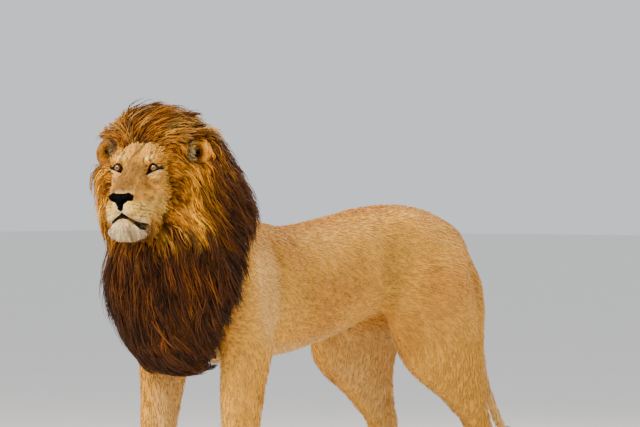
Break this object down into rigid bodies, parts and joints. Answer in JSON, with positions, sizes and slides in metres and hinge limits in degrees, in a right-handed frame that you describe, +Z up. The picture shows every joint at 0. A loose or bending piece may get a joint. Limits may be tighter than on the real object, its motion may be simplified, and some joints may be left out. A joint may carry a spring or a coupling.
{
  "type": "lion",
  "caption": "Life-size adult male lion standing with its head turned to its left, as a still museum model with full mane and tufted tail.",
  "frame": {"origin": "middle of the footprint's box, on the floor under the paws", "axes": "+Z up, the lion's body faces -Y, its left side is +X"},
  "size_m": [0.46, 2.0992, 1.3705],
  "materials": {
    "short_coat": "short sandy fur lying flat",
    "mane_hair": "long coarse hair, golden round the face and dark brown behind",
    "tuft_hair": "long dark hair",
    "nose_leather": "pebbled, slightly moist",
    "eye": "clear, wet gloss over an amber iris"
  },
  "bodies": {
    "root": {"head": "short_coat", "lower_jaw": "short_coat", "neck": "short_coat", "chest": "short_coat", "barrel": "short_coat", "rump": "short_coat", "upper_arm_left": "short_coat", "upper_arm_right": "short_coat", "foreleg_left_lower": "short_coat", "foreleg_right_lower": "short_coat", "forepaw_left": "short_coat", "forepaw_right": "short_coat", "thigh_left": "short_coat", "thigh_right": "short_coat", "hindleg_left_lower": "short_coat", "hindleg_right_lower": "short_coat", "hindpaw_left": "short_coat", "hindpaw_right": "short_coat", "tail_root": "short_coat", "tail_middle": "short_coat", "tail_end": "short_coat", "ear_left": "short_coat", "ear_right": "short_coat", "mane_crown": "mane_hair", "mane_left": "mane_hair", "mane_right": "mane_hair", "mane_bib": "mane_hair", "tail_tuft": "tuft_hair", "nose": "nose_leather", "eye_left": "eye", "eye_right": "eye"}
  },
  "joints": []
}
